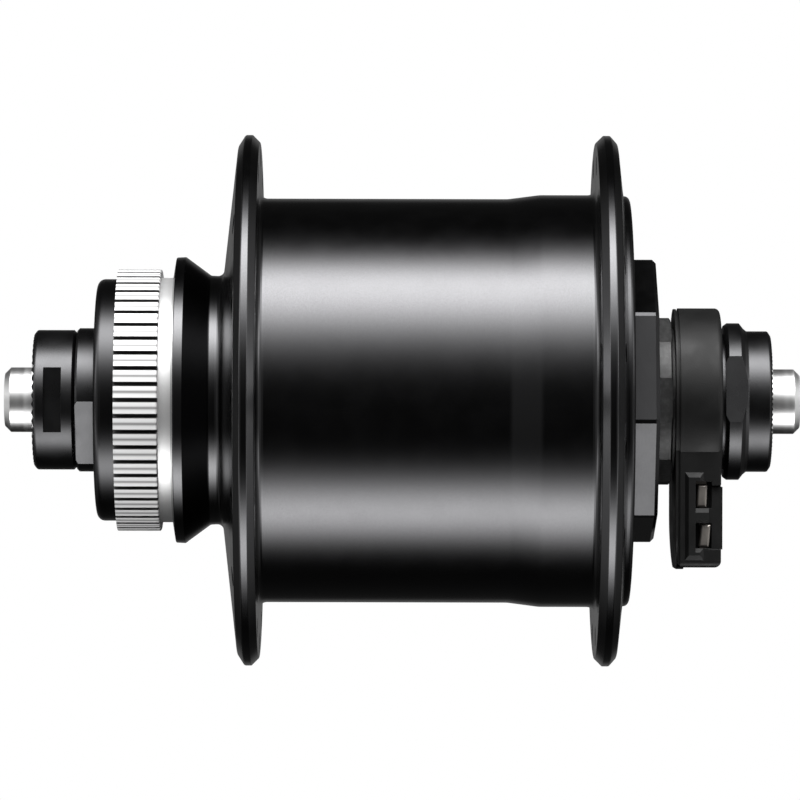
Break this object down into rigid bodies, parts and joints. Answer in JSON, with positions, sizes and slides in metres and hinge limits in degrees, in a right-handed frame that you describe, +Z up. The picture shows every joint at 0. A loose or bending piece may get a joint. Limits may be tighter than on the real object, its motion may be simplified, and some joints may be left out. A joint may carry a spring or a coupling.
{
  "type": "bicycle generator hub",
  "caption": "Bicycle front hub with a built-in generator: fat barrel between spoke flanges, splined disc mount, hollow axle, plug block for a lamp lead.",
  "frame": {"origin": "on the axle, half way between the locknut faces, which is also the middle of the bounding box", "axes": "+Y along the axle towards the disc mount, +Z up with the plug block's leg pointing down, -X the side that shows the live contact strip"},
  "size_m": [0.0722, 0.108, 0.0722],
  "materials": {
    "black_anodised": "gloss black anodised",
    "black_cap": "satin black anodised",
    "bare_aluminium": "bright turned aluminium, black anodised collar",
    "black_steel": "satin black plated steel",
    "bare_steel": "turned steel",
    "bearing_steel": "ground bearing steel",
    "cage_steel": "pressed steel",
    "yoke_steel": "zinc-plated soft steel",
    "magnet_ferrite": "sintered ferrite",
    "copper_wire": "enamelled copper wire",
    "bobbin_plastic": "moulded nylon",
    "black_plastic": "matte moulded plastic",
    "contact_metal": "tinned brass",
    "seal_rubber": "moulded rubber",
    "lead_sleeve": "insulated wire"
  },
  "bodies": {
    "axle_assembly": {"hub_axle": "bare_steel", "left_locknut": "black_steel", "left_cone": "black_steel", "left_dust_cover": "seal_rubber", "right_cone": "black_steel", "right_lock_washer": "black_steel", "right_locknut": "black_steel", "connector_back_plate": "black_plastic", "connector_body": "black_plastic", "live_terminal": "contact_metal", "earth_terminal": "contact_metal", "left_claw_yoke": "yoke_steel", "right_claw_yoke": "yoke_steel", "stator_core": "yoke_steel", "coil_bobbin": "bobbin_plastic", "coil_winding": "copper_wire", "left_stator_washer": "bare_steel", "left_stator_nut": "bare_steel", "right_stator_washer": "bare_steel", "right_stator_nut": "bare_steel", "output_lead": "lead_sleeve"},
    "shell": {"hub_shell": "black_anodised", "rotor_spline_carrier": "bare_aluminium", "left_bearing_cup": "bearing_steel", "left_seal": "seal_rubber", "hub_cap": "black_cap", "right_bearing_cup": "bearing_steel", "right_seal": "seal_rubber", "cap_seal_ring": "seal_rubber", "magnet_yoke_ring": "yoke_steel", "magnet_1": "magnet_ferrite", "magnet_2": "magnet_ferrite", "magnet_3": "magnet_ferrite", "magnet_4": "magnet_ferrite"},
    "left_cage": {"left_ball_cage": "cage_steel", "left_balls": "bearing_steel"},
    "right_cage": {"right_ball_cage": "cage_steel", "right_balls": "bearing_steel"}
  },
  "joints": [
    {"name": "hub_spin", "type": "hinge", "parent": "axle_assembly", "child": "shell", "pos_m": [0, 0, 0], "axis": [0, 1, 0], "continuous": true},
    {"name": "left_cage_spin", "type": "hinge", "parent": "axle_assembly", "child": "left_cage", "pos_m": [0, 0, 0], "axis": [0, 1, 0], "continuous": true},
    {"name": "right_cage_spin", "type": "hinge", "parent": "axle_assembly", "child": "right_cage", "pos_m": [0, 0, 0], "axis": [0, 1, 0], "continuous": true}
  ],
  "couplings": [
    {"joint": "left_cage_spin", "follows": "hub_spin", "ratio": 0.5633},
    {"joint": "right_cage_spin", "follows": "hub_spin", "ratio": 0.5584}
  ]
}
